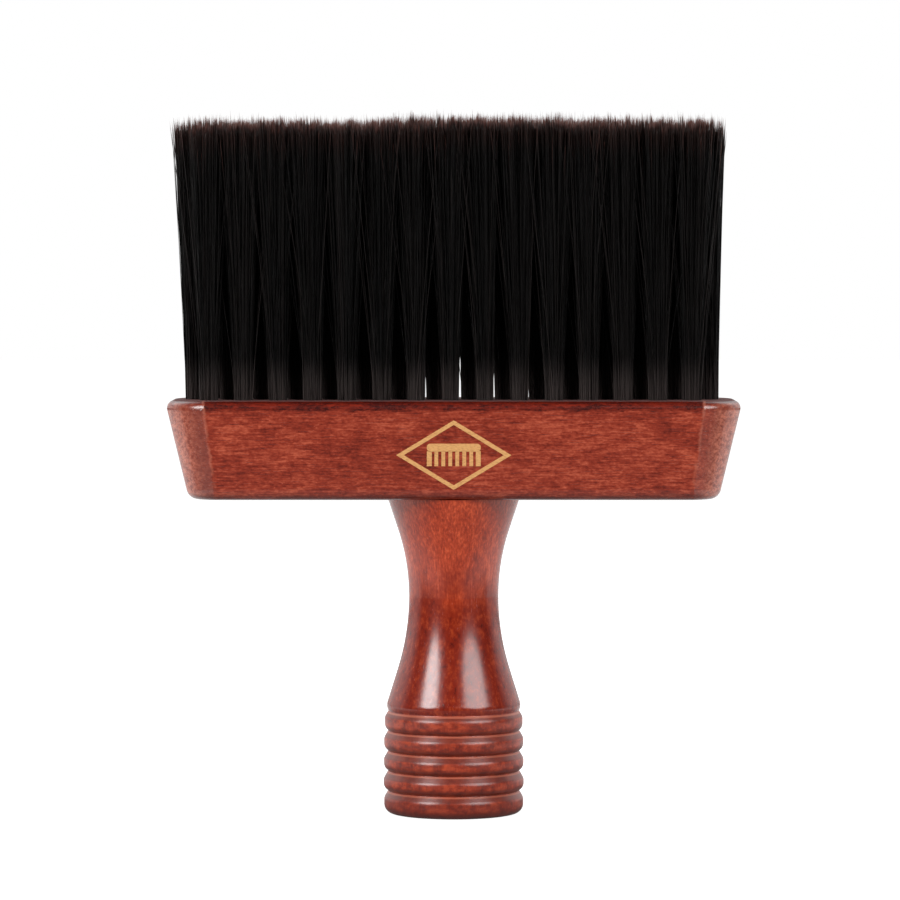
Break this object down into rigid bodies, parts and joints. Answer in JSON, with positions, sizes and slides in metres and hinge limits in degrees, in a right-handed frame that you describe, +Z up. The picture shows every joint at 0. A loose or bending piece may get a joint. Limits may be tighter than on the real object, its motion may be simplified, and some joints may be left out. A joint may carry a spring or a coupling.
{
  "type": "neck duster brush",
  "caption": "Barber's neck duster: a wide stained-wood head with dense rows of soft dark bristle tufts, on a short turned handle with a waist, a bulb and grip rings.",
  "frame": {"origin": "centre of the handle's flat foot, directly below the middle of the head and the bristles", "axes": "+Z up the handle to the bristle tips, the longest extent; +X along the wide head; +Y through its depth, the shortest extent, with the front face towards -Y"},
  "size_m": [0.1456, 0.0398, 0.18],
  "materials": {
    "stained_wood": "red-brown stain under satin lacquer, grain along the head",
    "stained_wood_turned": "red-brown stain under gloss lacquer, grain along the handle, turned",
    "dowel_wood": "bare beech, fluted, glued in",
    "bristle": "soft black synthetic filament with brown tips, slight sheen",
    "anchor_metal": "plain galvanised flat strip",
    "front_print": "pale gold ink, one thin printed layer on the head's front"
  },
  "bodies": {
    "root": {"head_block": "stained_wood", "handle": "stained_wood_turned", "joint_dowel": "dowel_wood", "tuft_front_01": "bristle", "tuft_front_02": "bristle", "tuft_front_03": "bristle", "tuft_front_04": "bristle", "tuft_front_05": "bristle", "tuft_front_06": "bristle", "tuft_front_07": "bristle", "tuft_front_08": "bristle", "tuft_front_09": "bristle", "tuft_front_10": "bristle", "tuft_front_11": "bristle", "tuft_front_12": "bristle", "tuft_front_13": "bristle", "tuft_front_14": "bristle", "tuft_front_15": "bristle", "tuft_middle_01": "bristle", "tuft_middle_02": "bristle", "tuft_middle_03": "bristle", "tuft_middle_04": "bristle", "tuft_middle_05": "bristle", "tuft_middle_06": "bristle", "tuft_middle_07": "bristle", "tuft_middle_08": "bristle", "tuft_middle_09": "bristle", "tuft_middle_10": "bristle", "tuft_middle_11": "bristle", "tuft_middle_12": "bristle", "tuft_middle_13": "bristle", "tuft_middle_14": "bristle", "tuft_middle_15": "bristle", "tuft_middle_16": "bristle", "tuft_back_01": "bristle", "tuft_back_02": "bristle", "tuft_back_03": "bristle", "tuft_back_04": "bristle", "tuft_back_05": "bristle", "tuft_back_06": "bristle", "tuft_back_07": "bristle", "tuft_back_08": "bristle", "tuft_back_09": "bristle", "tuft_back_10": "bristle", "tuft_back_11": "bristle", "tuft_back_12": "bristle", "tuft_back_13": "bristle", "tuft_back_14": "bristle", "tuft_back_15": "bristle", "tuft_anchors_front": "anchor_metal", "tuft_anchors_middle": "anchor_metal", "tuft_anchors_back": "anchor_metal"}
  },
  "joints": []
}
